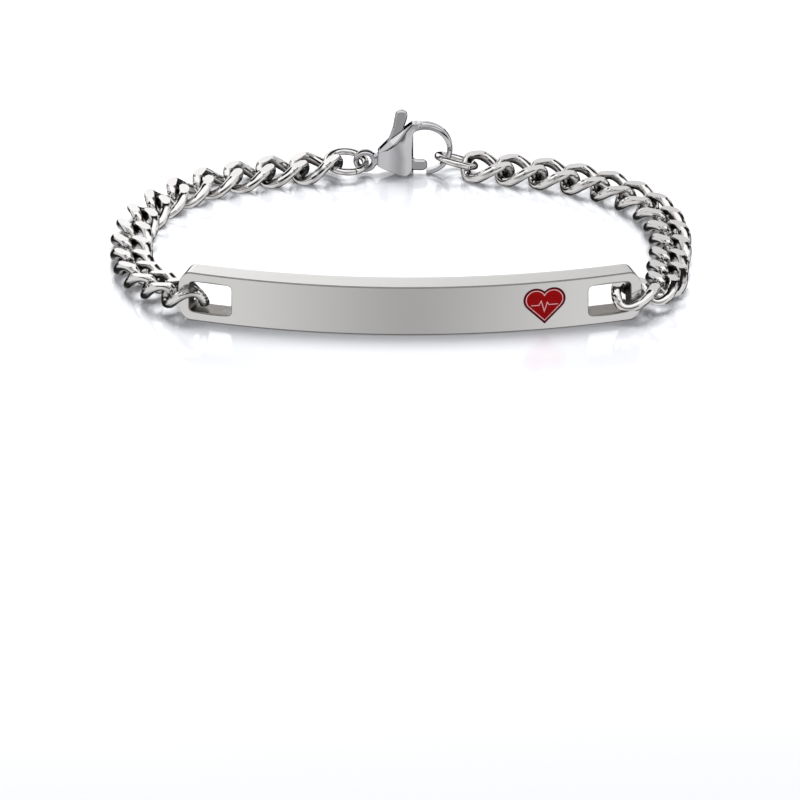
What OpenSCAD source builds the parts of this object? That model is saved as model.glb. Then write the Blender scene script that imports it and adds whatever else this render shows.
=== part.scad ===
// Medical alert bracelet, in millimetres, Z up. It lies closed on a flat surface, with its bowed identity
// plate standing on a long edge at the front and a lobster clasp standing at the back. The origin is the
// middle of the loop's footprint, on that surface. +X runs to the right along the plate, +Y to the clasp.

/* [Loop] */
// Depth of the loop, from the plate's face to the back of the jump rings
loop_d = 52.2; // [46:0.5:60]
// How far the chain swings out past each end of the plate
side_swing = 7.8; // [6:0.5:11]
// How far the clasp's middle plane lies in from the back of the loop
clasp_set_in = 2.6; // [2:0.1:4]

/* [Identity plate] */
// Length of the plate along its bowed face
plate_len = 61.4; // [50:1:70]
// Height of the plate
plate_h = 6.8; // [6.2:0.1:8]
// Thickness of the plate in its middle
plate_t = 3.3; // [2.6:0.1:3.6]
// Thickness of the plate at its ends
plate_end_t = 2.9; // [2.2:0.1:3]
// Radius that the plate's face is bowed to
bow_r = 90; // [75:5:140]
// How far the plate sits to the right of the loop's middle
plate_shift = 1.2; // [-2:0.1:2]
// Length that the plate's rounded corners take from its edges
corner_len = 1.7; // [0.6:0.1:2.4]
// Height that the plate's rounded corners take from its ends
corner_h = 2.5; // [0.6:0.1:3]
// Width of the bar between a window and the plate's end
end_bar_w = 1.5; // [1.2:0.1:1.8]
// Thickness of the bar, which is eased at its back so that its link can turn
bar_t = 2.1; // [1.6:0.1:2.2]
// Length of the window at each end of the plate
window_len = 5.7; // [4.8:0.1:7]
// Height of the window
window_h = 4.2; // [4:0.1:4.8]
// Radius of the window's corners
window_r = 0.5; // [0.2:0.1:1]

/* [Emblem] */
// Width of the enamel heart
emblem_w = 5.5; // [3:0.1:5.8]
// Depth of the pocket that holds the enamel
emblem_depth = 0.4; // [0.2:0.1:0.8]
// Distance of the heart from the plate's middle, along the face
emblem_shift = 17.6; // [-18:0.5:18]

/* [Chain] */
// Diameter of the link wire
wire_d = 1.2; // [0.9:0.05:1.25]
// Outer length of a link
link_len = 7.05; // [6.8:0.05:8]
// Outer width of a link
link_w = 5.5; // [5.3:0.1:6.5]
// Angle that each end of a link is twisted by
link_twist = 58; // [50:1:62]
// Thickness of the chain after its faces are ground flat
chain_t = 2.5; // [2.2:0.1:2.9]
// Slack between two links that are pulled tight
link_slack = 0.2; // [0.1:0.05:0.4]
// Links next to the plate that are pushed together where the chain is loose
loose_links = 9; // [2:1:10]

/* [Clasp] */
// Length of the clasp, from its eye to its hook
clasp_len = 12.9; // [11.5:0.25:15]
// Height of the clasp's hook
clasp_h = 7.45; // [6.6:0.1:8.5]
// Thickness of the clasp's belly
belly_t = 2.7; // [2.2:0.1:3.4]
// Thickness of the hook
hook_t = 1.3; // [0.9:0.05:1.6]
// Radial width of the hook at its far side
hook_band = 0.7; // [0.5:0.05:0.9]
// Outer radius of the eye
eye_r = 1.55; // [1.4:0.05:2]
// Radius of the eye's hole
eye_hole_r = 0.8; // [0.7:0.05:0.9]
// Thickness of the eye
eye_t = 1.2; // [1:0.1:1.8]
// Thickness of the lever
lever_t = 0.8; // [0.5:0.05:1]
// Height of the lever's tab above the surface
tab_h = 9.15; // [8:0.1:10.5]
// Radius of the pin that the lever turns on
pin_r = 0.35; // [0.25:0.05:0.5]

/* [Jump rings] */
// Outer diameter of a jump ring
ring_d = 5.9; // [5.5:0.1:7]
// Wire diameter of a jump ring
ring_wire_d = 0.9; // [0.6:0.05:0.95]
// Gap of the cut where a jump ring closes
ring_cut = 0.08; // [0.04:0.01:0.2]

/* [Hidden] */
// Room between pieces that fit together, and past the faces that a cut runs through
fit = 0.05;
lever_play = 0.12;
over = 1;
// Sides of a link's wire, and rings of points round a link
wire_sides = 6;
link_steps = 16;
// How much squarer than an ellipse a link is
link_fullness = 0.25;
// Points on each curved stretch of a route
route_steps = 12;

// The chosen points of each chain's route from the clasp to the plate: shares of the loop's half width and
// half depth, and the height that the chain is lifted off the surface there, in millimetres.
route_left = [[-0.46, 0.8, 0.06], [-0.66, 0.675, 0], [-0.825, 0.435, 0], [-0.91, 0.12, 0],
    [-0.92, -0.21, 0.08], [-0.88, -0.48, 0.6]];
route_right = [[0.51, 0.78, 0], [0.72, 0.62, 0], [0.865, 0.355, 0], [0.922, 0.02, 0.03], [0.915, -0.3, 0.12],
    [0.9, -0.56, 0.65]];
// How far out and how far back from the middle of its bar each end link sits
bar_play = 0.25;
bar_back = 0.15;
// How each jump ring lies: turns about X, Y and Z, and how far its wire sits from the middle of its seat
ring_left_turn = [8, 3, 8];
ring_right_turn = [-18, 13, -10];

// The plate's bow
half_angle = plate_len / 2 / bow_r * 180 / PI;
face_y = -loop_d / 2;
bow_centre = [plate_shift, face_y + bow_r];
half_chord = bow_r * sin(half_angle);
loop_half = [half_chord + side_swing, loop_d / 2];
// The back face is a wider arc, through the plate's thickness in its middle and at its ends
back_end = [(bow_r - plate_end_t) * sin(half_angle), bow_r - (bow_r - plate_end_t) * cos(half_angle)];
back_sag = back_end.y - plate_t;
back_r = (back_end.x * back_end.x + back_sag * back_sag) / (2 * back_sag);
window_z = plate_h / 2;

// The clasp's places, in its own frame: X from the eye's end, Z from the surface
clasp_y = loop_d / 2 - clasp_set_in;
clasp_x = -clasp_len / 2 + 0.3;
eye = [eye_r, eye_r + 0.35];
hook_r = clasp_h / 2;
hook_centre = [clasp_len - hook_r, clasp_h - hook_r];
inner_r = hook_r - hook_band - 0.12;
inner_centre = hook_centre + [0.12, -0.14];
pivot = [0.467 * clasp_len, 0.35 * clasp_h];
mouth_x = 0.604 * clasp_len;
tip_x = 0.735 * clasp_len;
tip_z = 0.28 * clasp_h;
// Rounds that the body's side outline is drawn round: shares of the clasp's length, height and height
body_rounds = [[0.226, 0.29, 0.088], [0.41, 0.59, 0.115], [0.62, 0.855, 0.135], [0.51, 0.14, 0.14]];
// Corners of the slot that the lever swings in: shares of the clasp's length and height
slot_corners = [[0.265, 0.31], [0.37, 0.2], [0.475, 0.06], [0.68, 0.06], [0.68, 0.75], [0.592, 0.83],
    [0.592, 1.1], [0.265, 1.1]];
// The lever's tab: shares of the clasp's length and height. Then the rounds from the tab down to the gate:
// shares of the clasp's length, height and height
tab_round = [0.483, 0.11];
lever_rounds = [[0.45, 0.875, 0.092], [0.395, 0.55, 0.105], [0.467, 0.35, 0.13], [0.6, 0.178, 0.097],
    [0.69, 0.178, 0.097]];
// Half thickness of the body along the clasp: share of its length, then share from hook to belly
body_widths = [[0.245, 0.05], [0.36, 0.75], [0.45, 1], [0.56, 1], [0.61, 0.9], [0.7, 0.25], [0.76, 0]];

// The rings hang on the eye and round the hook, and the end links hang on the rings
ring_r = (ring_d - ring_wire_d) / 2;
wire_r = wire_d / 2;
hook_seat_x = hook_centre.x + sqrt(hook_r * hook_r - pow(hook_centre.y - 0.35 * clasp_h, 2)) - hook_band
    - ring_wire_d / 2 - 0.6;
seat_left = [clasp_x + eye.x, clasp_y, eye.y - 0.15];
seat_right = [clasp_x + hook_seat_x, clasp_y, 0.35 * clasp_h];
ring_left_far = seat_left - ring_span(ring_left_turn);
ring_right_far = seat_right + ring_span(ring_right_turn);
// Distance from a link's middle to the wire of the ring in its end
ring_hold = link_len / 2 - wire_d - ring_wire_d / 2 - link_slack;
chain_z = chain_t / 2 + fit;
bar_z = window_z - 0.45;
bar_left = bar_place(-1);
bar_right = bar_place(1);

first_left = [ring_left_far.x - ring_hold + 0.25, ring_left_far.y - 0.75, chain_z + 0.42];
first_right = [ring_right_far.x + ring_hold, ring_right_far.y - 0.4, chain_z + 0.1];
line_left = route_line(concat([ring_left_far + [2, 0, 1], first_left], route_points(route_left),
    [bar_left, bar_left + [1.1, -0.24, 0.09] * link_len]));
line_right = route_line(concat([ring_right_far - [2, 0, -0.3], first_right], route_points(route_right),
    [bar_right, bar_right + [-1.1, -0.24, 0.09] * link_len]));
marks_left = distances(line_left);
marks_right = distances(line_right);
pitch = link_len - 2 * wire_d - link_slack;
count_left = link_count(marks_left);
count_right = link_count(marks_right);

// Places along a chain

// The way from a ring's near wire to its far wire, with the ring turned
function ring_span(turn) = 2 * ring_r * [cos(turn.y) * cos(turn.z), cos(turn.y) * sin(turn.z), -sin(turn.y)];

// The middle of the bar at one end of the plate, where the last link's middle is
function bar_place(side) =
    let(a = side * (half_angle - (end_bar_w / 2 - bar_play) / bow_r * 180 / PI),
        r = bow_r - bar_t / 2 - bar_back)
    [bow_centre.x + r * sin(a), bow_centre.y - r * cos(a), bar_z];

function route_points(route) = [for (p = route) [p.x * loop_half.x, p.y * loop_half.y, chain_z + p.z]];

// A smooth curve through all points but the first and last, which only set its direction at its ends
function route_line(p) = concat([for (i = [1:len(p) - 3], k = [0:route_steps - 1])
    let(t = k / route_steps, a = p[i - 1], b = p[i], c = p[i + 1], d = p[i + 2])
    (2 * b + (c - a) * t + (2 * a - 5 * b + 4 * c - d) * t * t + (3 * b - a - 3 * c + d) * t * t * t) / 2],
    [p[len(p) - 2]]);

// The distance of each point of a line from its start
function distances(line) = [for (i = 0, s = 0; i < len(line); i = i + 1,
    s = i < len(line) ? s + norm(line[i] - line[i - 1]) : s) s];

function along(line, marks, s) = [for (axis = [0:2]) lookup(s, [for (i = [0:len(line) - 1])
    [marks[i], line[i][axis]]])];

function link_count(marks) = ceil(marks[len(marks) - 1] / pitch - 0.01) + 1;

// A tight chain's pitch from the clasp on, and an even share of what is left over the loose links
function link_mark(marks, i) =
    let(total = marks[len(marks) - 1], tight = max(1, link_count(marks) - 1 - loose_links))
    i <= tight ? i * pitch : tight * pitch + (i - tight) * (total - tight * pitch) / loose_links;

// Modules of the pieces

// The oval middle line of a link, twisted about its length
function link_middle(a) =
    let(x = (link_len - wire_d) / 2 * cos(a), turn = -link_twist * cos(a),
        y = (link_w - wire_d) / 2 * sin(a) * (1 + link_fullness * cos(a) * cos(a)))
    [x, y * cos(turn), y * sin(turn)];

// A corner of the wire, held between the two ground faces
function wire_corner(a, b) =
    let(way = link_middle(a + 1) - link_middle(a - 1), side = cross([0, 0, 1], way), up = cross(way, side),
        p = link_middle(a) + wire_r * (cos(b) * side / norm(side) + sin(b) * up / norm(up)))
    [p.x, p.y, max(-chain_t / 2, min(chain_t / 2, p.z))];

module link_shape() {
    step = 360 / link_steps;
    points = [for (i = [0:link_steps - 1], j = [0:wire_sides - 1])
        wire_corner(i * step, j * 360 / wire_sides)];
    faces = [for (i = [0:link_steps - 1], j = [0:wire_sides - 1])
        let(n = (i + 1) % link_steps, m = (j + 1) % wire_sides,
            a = i * wire_sides + j, b = i * wire_sides + m, c = n * wire_sides + m, d = n * wire_sides + j)
        each [[a, c, b], [a, d, c]]];
    polyhedron(points, faces);
}

module link(line, marks, i) {
    s = link_mark(marks, i);
    p = along(line, marks, s);
    way = along(line, marks, s + wire_r) - along(line, marks, s - wire_r);
    color("silver") translate(p)
        rotate([0, -asin(way.z / norm(way)), atan2(way.y, way.x)]) link_shape();
}

module jump_ring(seat, turn, far_side, cut_angle) {
    gap_angle = ring_cut / ring_r * 180 / PI;
    color("silver") translate(seat) rotate(turn) translate([far_side * ring_r, 0, 0])
        rotate([0, 0, cut_angle + gap_angle / 2]) rotate_extrude(angle = 360 - gap_angle, $fn = 48)
        translate([ring_r, 0]) circle(r = ring_wire_d / 2, $fn = 24);
}

// Stands what it holds on the plate's face, at an angle round the bow: X along, Z up, Y into the plate
module on_face(angle) {
    translate([bow_centre.x, bow_centre.y, 0]) rotate([0, 0, angle]) translate([0, -bow_r, 0]) children();
}

// A side view extruded through the plate from in front of its face
module through_plate(deep) {
    translate([0, deep, 0]) rotate([90, 0, 0]) linear_extrude(deep + over) children();
}

module plate_plan() {
    reach = 2 * bow_r * tan(half_angle);
    intersection() {
        difference() {
            translate(bow_centre) circle(r = bow_r, $fn = 360);
            translate([bow_centre.x, face_y + plate_t + back_r]) circle(r = back_r, $fn = 360);
        }
        translate(bow_centre) polygon([[0, 0], [-reach, -2 * bow_r], [reach, -2 * bow_r]]);
    }
}

module window_outline() {
    inner = [window_len - 2 * window_r, window_h - 2 * window_r];
    square([window_len, inner.y], center = true);
    square([inner.x, window_h], center = true);
    for (x = [-1, 1], y = [-1, 1]) translate([x * inner.x, y * inner.y] / 2) circle(r = window_r, $fn = 24);
}

// What is cut off one of the plate's corners, seen from the front: the outside of a quarter ellipse
module corner_waste(side, up) {
    arc = [for (a = [0:15:90]) [corner_len * (sin(a) - 1), corner_h * (cos(a) - 1)]];
    waste = concat([[over, over], [-corner_len, over]], arc, [[over, -corner_h]]);
    translate([0, window_z]) polygon([for (p = waste) [side * p.x, up * (p.y + plate_h / 2)]]);
}

// A heart: a square on its corner with a half disc on each upper side, its box centred
module heart_outline(width) {
    side = width / (0.5 * sqrt(2) + 1);
    height = side * (0.75 * sqrt(2) + 0.5);
    lobe = [side, 3 * side] / 2 / sqrt(2);
    right = [for (a = [-45:15:135]) lobe + side / 2 * [cos(a), sin(a)]];
    left = [for (i = [len(right) - 2:-1:0]) [-right[i].x, right[i].y]];
    translate([0, -height / 2]) polygon(concat([[0, 0]], right, left));
}

// The heart through the skin of the plate, down to a depth below the face
module heart_block(width, depth, height) {
    difference() {
        on_face(emblem_shift / bow_r * 180 / PI) through_plate(plate_t / 2)
            translate([0, plate_h / 2]) heart_outline(width);
        translate([bow_centre.x, bow_centre.y, -over]) cylinder(r = bow_r - depth, h = height, $fn = 360);
    }
}

module id_plate() {
    color("silver") difference() {
        linear_extrude(plate_h) plate_plan();
        for (side = [-1, 1]) on_face(side * half_angle) {
            translate([-side * (end_bar_w + window_len / 2), 0, window_z]) through_plate(2 * plate_t)
                window_outline();
            for (up = [-1, 1]) through_plate(2 * plate_t) corner_waste(side, up);
            translate([side * (over - end_bar_w) / 2, plate_t + bar_t, window_z])
                cube([end_bar_w + over, 2 * plate_t, window_h], center = true);
        }
        heart_block(emblem_w + 2 * fit, emblem_depth, plate_h + 2 * over);
    }
}

module emblem() {
    color("firebrick") intersection() {
        heart_block(emblem_w, emblem_depth - fit, plate_h + 2 * over);
        translate([bow_centre.x, bow_centre.y, 0]) cylinder(r = bow_r, h = plate_h, $fn = 360);
    }
}

// The clasp stands in the XZ plane: its side outlines are drawn flat and stood up, centred on that plane
module stand_clasp(thickness) {
    translate([clasp_x, clasp_y + thickness / 2, 0]) rotate([90, 0, 0]) linear_extrude(thickness) children();
}

module clasp_round(r) {
    translate([r[0] * clasp_len, r[1] * clasp_h]) circle(r = r[2] * clasp_h, $fn = 32);
}

module clasp_outline() {
    difference() {
        union() {
            hull() for (r = body_rounds) clasp_round(r);
            translate(hook_centre) circle(r = hook_r, $fn = 96);
        }
        intersection() {
            translate(inner_centre) circle(r = inner_r, $fn = 96);
            translate([mouth_x, 0]) square([clasp_len, clasp_h]);
        }
        translate([mouth_x, -over]) square([tip_x - mouth_x, tip_z + over]);
    }
}

// The clasp from above: as thick as its belly in the middle, and as its hook at the far side
module clasp_plan() {
    side = [for (w = body_widths) [w[0] * clasp_len, (hook_t + w[1] * (belly_t - hook_t)) / 2]];
    back = [for (i = [len(side) - 1:-1:0]) [side[i].x, -side[i].y]];
    ends = [[clasp_len + over, hook_t / 2], [clasp_len + over, -hook_t / 2]];
    translate([clasp_x, clasp_y]) polygon(concat(side, ends, back));
}

module clasp_body() {
    color("gainsboro") difference() {
        union() {
            intersection() {
                stand_clasp(belly_t) clasp_outline();
                translate([0, 0, -over]) linear_extrude(clasp_h + 2 * over) clasp_plan();
            }
            stand_clasp(eye_t) {
                translate(eye) circle(r = eye_r, $fn = 48);
                hull() {
                    clasp_round(body_rounds[0]);
                    translate([eye.x + eye_r / 2, eye.y]) circle(r = eye_r / 2, $fn = 32);
                }
            }
        }
        stand_clasp(lever_t + 2 * lever_play)
            polygon([for (c = slot_corners) [c.x * clasp_len, c.y * clasp_h]]);
        stand_clasp(2 * belly_t) {
            translate(eye) circle(r = eye_hole_r, $fn = 48);
            translate(pivot) circle(r = pin_r + fit / 2, $fn = 24);
        }
    }
}

module lever_outline() {
    tab_r = tab_round[1] * clasp_h;
    difference() {
        union() {
            hull() {
                translate([tab_round[0] * clasp_len, tab_h - tab_r]) circle(r = tab_r, $fn = 32);
                clasp_round(lever_rounds[0]);
            }
            for (i = [1:len(lever_rounds) - 1]) hull() {
                clasp_round(lever_rounds[i - 1]);
                clasp_round(lever_rounds[i]);
            }
        }
        translate(pivot) circle(r = pin_r + fit, $fn = 24);
    }
}

module clasp_lever() {
    color("darkgray") stand_clasp(lever_t) lever_outline();
}

module clasp_pin() {
    color("silver") stand_clasp(belly_t) translate(pivot) circle(r = pin_r, $fn = 24);
}

id_plate();
emblem();
clasp_body();
clasp_lever();
clasp_pin();
jump_ring(seat_left, ring_left_turn, -1, -70);  // jump_ring_left
jump_ring(seat_right, ring_right_turn, 1, 70);  // jump_ring_right
for (i = [1:count_left])
    link(line_left, marks_left, i - 1);
for (i = [1:count_right])
    link(line_right, marks_right, i - 1);
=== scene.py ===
import math

import bmesh
import bpy
import numpy as np
from mathutils import Matrix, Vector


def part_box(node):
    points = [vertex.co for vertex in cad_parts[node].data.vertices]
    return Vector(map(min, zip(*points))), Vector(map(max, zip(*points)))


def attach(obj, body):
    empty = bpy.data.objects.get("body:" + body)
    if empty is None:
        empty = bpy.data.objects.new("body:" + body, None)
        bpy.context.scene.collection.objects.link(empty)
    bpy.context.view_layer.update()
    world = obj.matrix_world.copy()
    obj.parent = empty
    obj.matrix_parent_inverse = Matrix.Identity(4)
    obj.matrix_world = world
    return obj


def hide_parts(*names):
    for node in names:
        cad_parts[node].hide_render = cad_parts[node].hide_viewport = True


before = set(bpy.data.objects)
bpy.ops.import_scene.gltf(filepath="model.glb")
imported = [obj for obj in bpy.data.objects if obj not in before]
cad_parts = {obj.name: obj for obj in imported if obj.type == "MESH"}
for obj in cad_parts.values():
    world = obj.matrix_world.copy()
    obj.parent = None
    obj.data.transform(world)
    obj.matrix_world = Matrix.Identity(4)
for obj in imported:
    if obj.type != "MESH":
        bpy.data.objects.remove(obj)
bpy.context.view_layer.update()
scene = bpy.context.scene
print("stage 1: frame loaded,", len(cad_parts), "nodes")

# The bracelet is worked out in millimetres in the row frame, and turned to metres when a mesh is made.
# The camera and the studio are in metres.


def linear(hexColour):
    # sRGB hex to linear light: c / 12.92 near black, otherwise ((c + 0.055) / 1.055) to the power 2.4
    channels = np.array([int(hexColour[i:i + 2], 16) / 255 for i in (1, 3, 5)])
    bright = ((channels + 0.055) / 1.055) ** 2.4
    return (*np.where(channels <= 0.04045, channels / 12.92, bright).tolist(), 1.0)


def addNode(tree, kind, inputs=None, **settings):
    # An input is given a value, or the output socket that feeds it. A colour Mix node has its factor in
    # input 0, its colours in inputs 6 and 7 and its result in output 2.
    node = tree.nodes.new(kind)
    for name, value in settings.items():
        setattr(node, name, value)
    for name, value in (inputs or {}).items():
        if isinstance(value, bpy.types.NodeSocket):
            tree.links.new(value, node.inputs[name])
        else:
            node.inputs[name].default_value = value
    return node


def startMaterial(name):
    material = bpy.data.materials.new(name)
    material.use_nodes = True
    return material, material.node_tree, material.node_tree.nodes["Principled BSDF"]


def addObject(name, data):
    thing = bpy.data.objects.new(name, data)
    scene.collection.objects.link(thing)
    return thing


def readValues(items, name, kind=float, width=1):
    # one number, or a row of them, from each item of a mesh
    values = np.empty(len(items) * width, kind)
    items.foreach_get(name, values)
    return values.reshape(-1, width) if width > 1 else values


def gridFaces(rows, columns, closedRows=False, closedColumns=True):
    # every cell (i, j), (i, j + 1), (i + 1, j + 1), (i + 1, j) of the grid is one quad
    i, j = np.meshgrid(np.arange(rows if closedRows else rows - 1),
                       np.arange(columns if closedColumns else columns - 1), indexing="ij")
    i, j = i.ravel(), j.ravel()
    above, below, right = i * columns, (i + 1) % rows * columns, (j + 1) % columns
    return np.stack([above + j, above + right, below + right, below + j], 1)


def cappedFaces(rows, columns):
    # a grid that is closed round its columns, with a cap on its first row and on its last
    caps = [list(range(columns)), list(range((rows - 1) * columns, rows * columns))]
    return gridFaces(rows, columns).tolist() + caps


def between(value, start, end):
    # a smooth step from 0 at the start to 1 at the end
    share = np.clip((value - start) / (end - start), 0, 1)
    return share * share * (3 - 2 * share)


def makePiece(name, points, faces, materials, sharpAngle=30, faceMaterials=None):
    # points in mm; the faces are turned outwards, and edges under the sharp angle are shaded smooth
    mesh = bpy.data.meshes.new(name)
    mesh.from_pydata((np.asarray(points).reshape(-1, 3) / 1000).tolist(), [], [list(f) for f in faces])
    if faceMaterials is not None:
        mesh.polygons.foreach_set("material_index", np.asarray(faceMaterials, np.int32))
    shell = bmesh.new()
    shell.from_mesh(mesh)
    bmesh.ops.recalc_face_normals(shell, faces=shell.faces)
    shell.to_mesh(mesh)
    shell.free()
    for material in materials:
        mesh.materials.append(material)
    piece = addObject(name, mesh)
    shadeSmooth(piece, sharpAngle)
    return piece


def shadeSmooth(piece, sharpAngle):
    # edges over the angle, and those where two materials meet, stay sharp
    mesh = piece.data
    mesh.polygons.foreach_set("use_smooth", np.ones(len(mesh.polygons), bool))
    mesh.set_sharp_from_angle(angle=math.radians(sharpAngle))
    material = np.repeat(readValues(mesh.polygons, "material_index", np.int32),
                         readValues(mesh.polygons, "loop_total", np.int32))
    edge = readValues(mesh.loops, "edge_index", np.int32)
    sharp = readValues(mesh.edges, "use_edge_sharp", bool)
    least, most = np.full(len(sharp), len(mesh.materials)), np.full(len(sharp), -1)
    np.minimum.at(least, edge, material)
    np.maximum.at(most, edge, material)
    mesh.edges.foreach_set("use_edge_sharp", sharp | (least < most))
    mesh.update()


def keepModified(piece):
    # the piece's mesh becomes what its modifiers make of it
    finished = bpy.data.meshes.new_from_object(piece.evaluated_get(bpy.context.evaluated_depsgraph_get()))
    piece.modifiers.clear()
    piece.data = finished
    return finished


def standsFor(piece, body, slotName, *nodes):
    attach(piece, body)
    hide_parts(*nodes)
    return piece


# Camera: without perspective, as a long lens sees, from the front and 25 degrees above the surface
view = {"elevation": 25, "frameWidth": 0.1039, "aim": (-0.00009, -0.04604), "distance": 0.6}


def placeCamera():
    tilt = math.radians(view["elevation"])
    lens = bpy.data.cameras.new("camera")
    lens.type = "ORTHO"
    lens.ortho_scale = view["frameWidth"]
    camera = addObject("camera", lens)
    back, up = view["distance"] * math.cos(tilt), view["distance"] * math.sin(tilt)
    camera.location = (view["aim"][0], view["aim"][1] - back, up)
    camera.rotation_euler = (math.pi / 2 - tilt, 0, 0)
    scene.camera = camera
    scene.view_settings.view_transform = "Standard"


placeCamera()

# Studio. Soft light comes from a white room and from a broad lamp above and behind. Polished metal mirrors
# the room, so glossy rays see it in bands, as around a product tent. A stop is an angle in degrees and the
# light there. The angles go over the bracelet from the front horizon (0) by the zenith (90) to the back
# horizon (180), and below the horizon they are negative. A ray that goes straight ahead, up or back sees
# the bands called ahead, and the further it goes sideways, up to asideFull, the more it sees of the bands
# called aside.
studio = {
    "room": (0.52, 0.53, 0.555, 1), "roomInView": "#fafbfe",
    "asideFull": 0.42, "asideRise": 1.35, "endOnFrom": 0.76, "endOnFull": 0.9, "endOnLight": 0.95,
    "lampPower": 3.0, "lampElevation": 65, "lampTurn": -6, "lampWidth": 38,
    "floor": "#f4f5f8", "floorRoughness": 0.1, "floorMirror": 0.9, "floorFilm": 1.0, "floorSize": 1.6,
    "backdropWidth": 0.6, "backdropBehind": 0.25, "backdropFoot": 0.015, "backdropTop": 0.18,
    "backdropLight": (1.4, 0.9), "backdropFade": (-0.036, 0.036)}
bands = {
    "ahead": [(-180, 0.01), (-168, 0.01), (-158, 0.45), (-132, 0.45), (-120, 0.01), (-90, 0.02),
              (-74, 0.35), (-50, 0.6), (-4, 0.61), (0, 0.02), (15, 0.02), (20, 0.75), (38, 0.8), (44, 1.5),
              (86, 1.5), (92, 0.02), (180, 0.01)],
    "aside": [(-180, 0.01), (-125, 0.02), (-100, 0.03), (-80, 0.5), (-60, 0.95), (-8, 1.02), (-4, 0.02),
              (11, 0.02), (16, 1.1), (24, 1.1), (29, 0.02), (42, 0.02), (46, 1.4), (88, 1.5), (94, 0.02),
              (180, 0.01)]}
stopNudge = 1e-4  # puts a ramp's last stop just before the one that a new ramp ends with


def lightRoom():
    # the angle over the bracelet is atan2(z, -y) of a ray's direction, and how far it goes sideways is |x|
    scene.world = bpy.data.worlds.new("studio")
    scene.world.use_nodes = True
    tree = scene.world.node_tree
    tree.nodes.clear()
    direction = addNode(tree, "ShaderNodeTexCoord").outputs["Generated"]
    way = addNode(tree, "ShaderNodeSeparateXYZ", {0: direction}).outputs
    ahead = addNode(tree, "ShaderNodeMath", {0: way["Y"], 1: -1.0}, operation="MULTIPLY").outputs[0]
    over = addNode(tree, "ShaderNodeMath", {0: way["Z"], 1: ahead}, operation="ARCTAN2").outputs[0]
    share = addNode(tree, "ShaderNodeMapRange",
                    {"Value": over, "From Min": -math.pi, "From Max": math.pi}).outputs[0]
    seen = {}
    for name, stops in bands.items():
        ramp = addNode(tree, "ShaderNodeValToRGB", {"Fac": share})
        ownStops = ramp.color_ramp.elements
        for k, (angle, light) in enumerate(stops):
            stop = ownStops[0] if k == 0 else ownStops.new((angle + 180) / 360 - stopNudge)
            stop.color = (light, light, light, 1)
        while len(ownStops) > len(stops):
            ownStops.remove(ownStops[-1])
        seen[name] = ramp.outputs["Color"]
    outwards = addNode(tree, "ShaderNodeMath", {0: way["X"]}, operation="ABSOLUTE").outputs[0]
    sideways = addNode(tree, "ShaderNodeMapRange",
                       {"Value": outwards, "From Max": studio["asideFull"]}).outputs[0]
    sideways = addNode(tree, "ShaderNodeMath", {0: sideways, 1: studio["asideRise"]},
                       operation="POWER").outputs[0]
    mirrored = addNode(tree, "ShaderNodeMix", {0: sideways, 6: seen["ahead"], 7: seen["aside"]},
                       data_type="RGBA").outputs[2]
    # an even wall at each side, which only what is turned well to the side mirrors
    wall = (studio["endOnLight"],) * 3 + (1,)
    endOn = addNode(tree, "ShaderNodeMapRange", {"Value": outwards, "From Min": studio["endOnFrom"],
                                                 "From Max": studio["endOnFull"]}).outputs[0]
    mirrored = addNode(tree, "ShaderNodeMix", {0: endOn, 6: mirrored, 7: wall}, data_type="RGBA").outputs[2]
    glossy = addNode(tree, "ShaderNodeLightPath").outputs["Is Glossy Ray"]
    room = addNode(tree, "ShaderNodeMix", {0: glossy, 6: studio["room"], 7: mirrored},
                   data_type="RGBA").outputs[2]
    # from low down the camera looks past the floor: there it sees the same white
    inView = addNode(tree, "ShaderNodeLightPath").outputs["Is Camera Ray"]
    room = addNode(tree, "ShaderNodeMix", {0: inView, 6: room, 7: linear(studio["roomInView"])},
                   data_type="RGBA").outputs[2]
    glow = addNode(tree, "ShaderNodeBackground", {"Color": room})
    addNode(tree, "ShaderNodeOutputWorld", {"Surface": glow.outputs["Background"]})


def hangLamp():
    # it shines from above and behind, and the metal doesn't mirror it
    light = bpy.data.lights.new("keyAboveBehind", "SUN")
    light.energy, light.angle = studio["lampPower"], math.radians(studio["lampWidth"])
    lamp = addObject("keyAboveBehind", light)
    lamp.rotation_euler = (math.radians(studio["lampElevation"] - 90), 0, math.radians(studio["lampTurn"]))
    lamp.visible_glossy = False


def litPaper():
    # Backdrop paper, lit from the left: it glows, and fades from left to right
    material, tree, _ = startMaterial("backdrop_paper_lit")
    tree.nodes.clear()
    place = addNode(tree, "ShaderNodeTexCoord").outputs["Object"]
    across = addNode(tree, "ShaderNodeSeparateXYZ", {0: place}).outputs["X"]
    light = addNode(tree, "ShaderNodeMapRange", {
        "Value": across, "From Min": studio["backdropFade"][0], "From Max": studio["backdropFade"][1],
        "To Min": studio["backdropLight"][0], "To Max": studio["backdropLight"][1]}).outputs[0]
    glow = addNode(tree, "ShaderNodeEmission", {"Strength": light})
    addNode(tree, "ShaderNodeOutputMaterial", {"Surface": glow.outputs[0]})
    return material


def whiteAcrylic():
    # White acrylic sheet, cast and polished, under its clear protective film: both mirror a little, so the
    # bracelet's soft image lies over a bright diffuse white
    material, _, shader = startMaterial("white_acrylic_cast")
    shader.inputs["Base Color"].default_value = linear(studio["floor"])
    shader.inputs["Roughness"].default_value = studio["floorRoughness"]
    shader.inputs["Specular IOR Level"].default_value = studio["floorMirror"]
    shader.inputs["Coat Weight"].default_value = studio["floorFilm"]
    shader.inputs["Coat Roughness"].default_value = studio["floorRoughness"]
    return material


def flatSheet(name, corners, material):
    mesh = bpy.data.meshes.new(name)
    mesh.from_pydata(corners, [], [(0, 1, 2, 3)])
    mesh.materials.append(material)
    return addObject(name, mesh)


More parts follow.
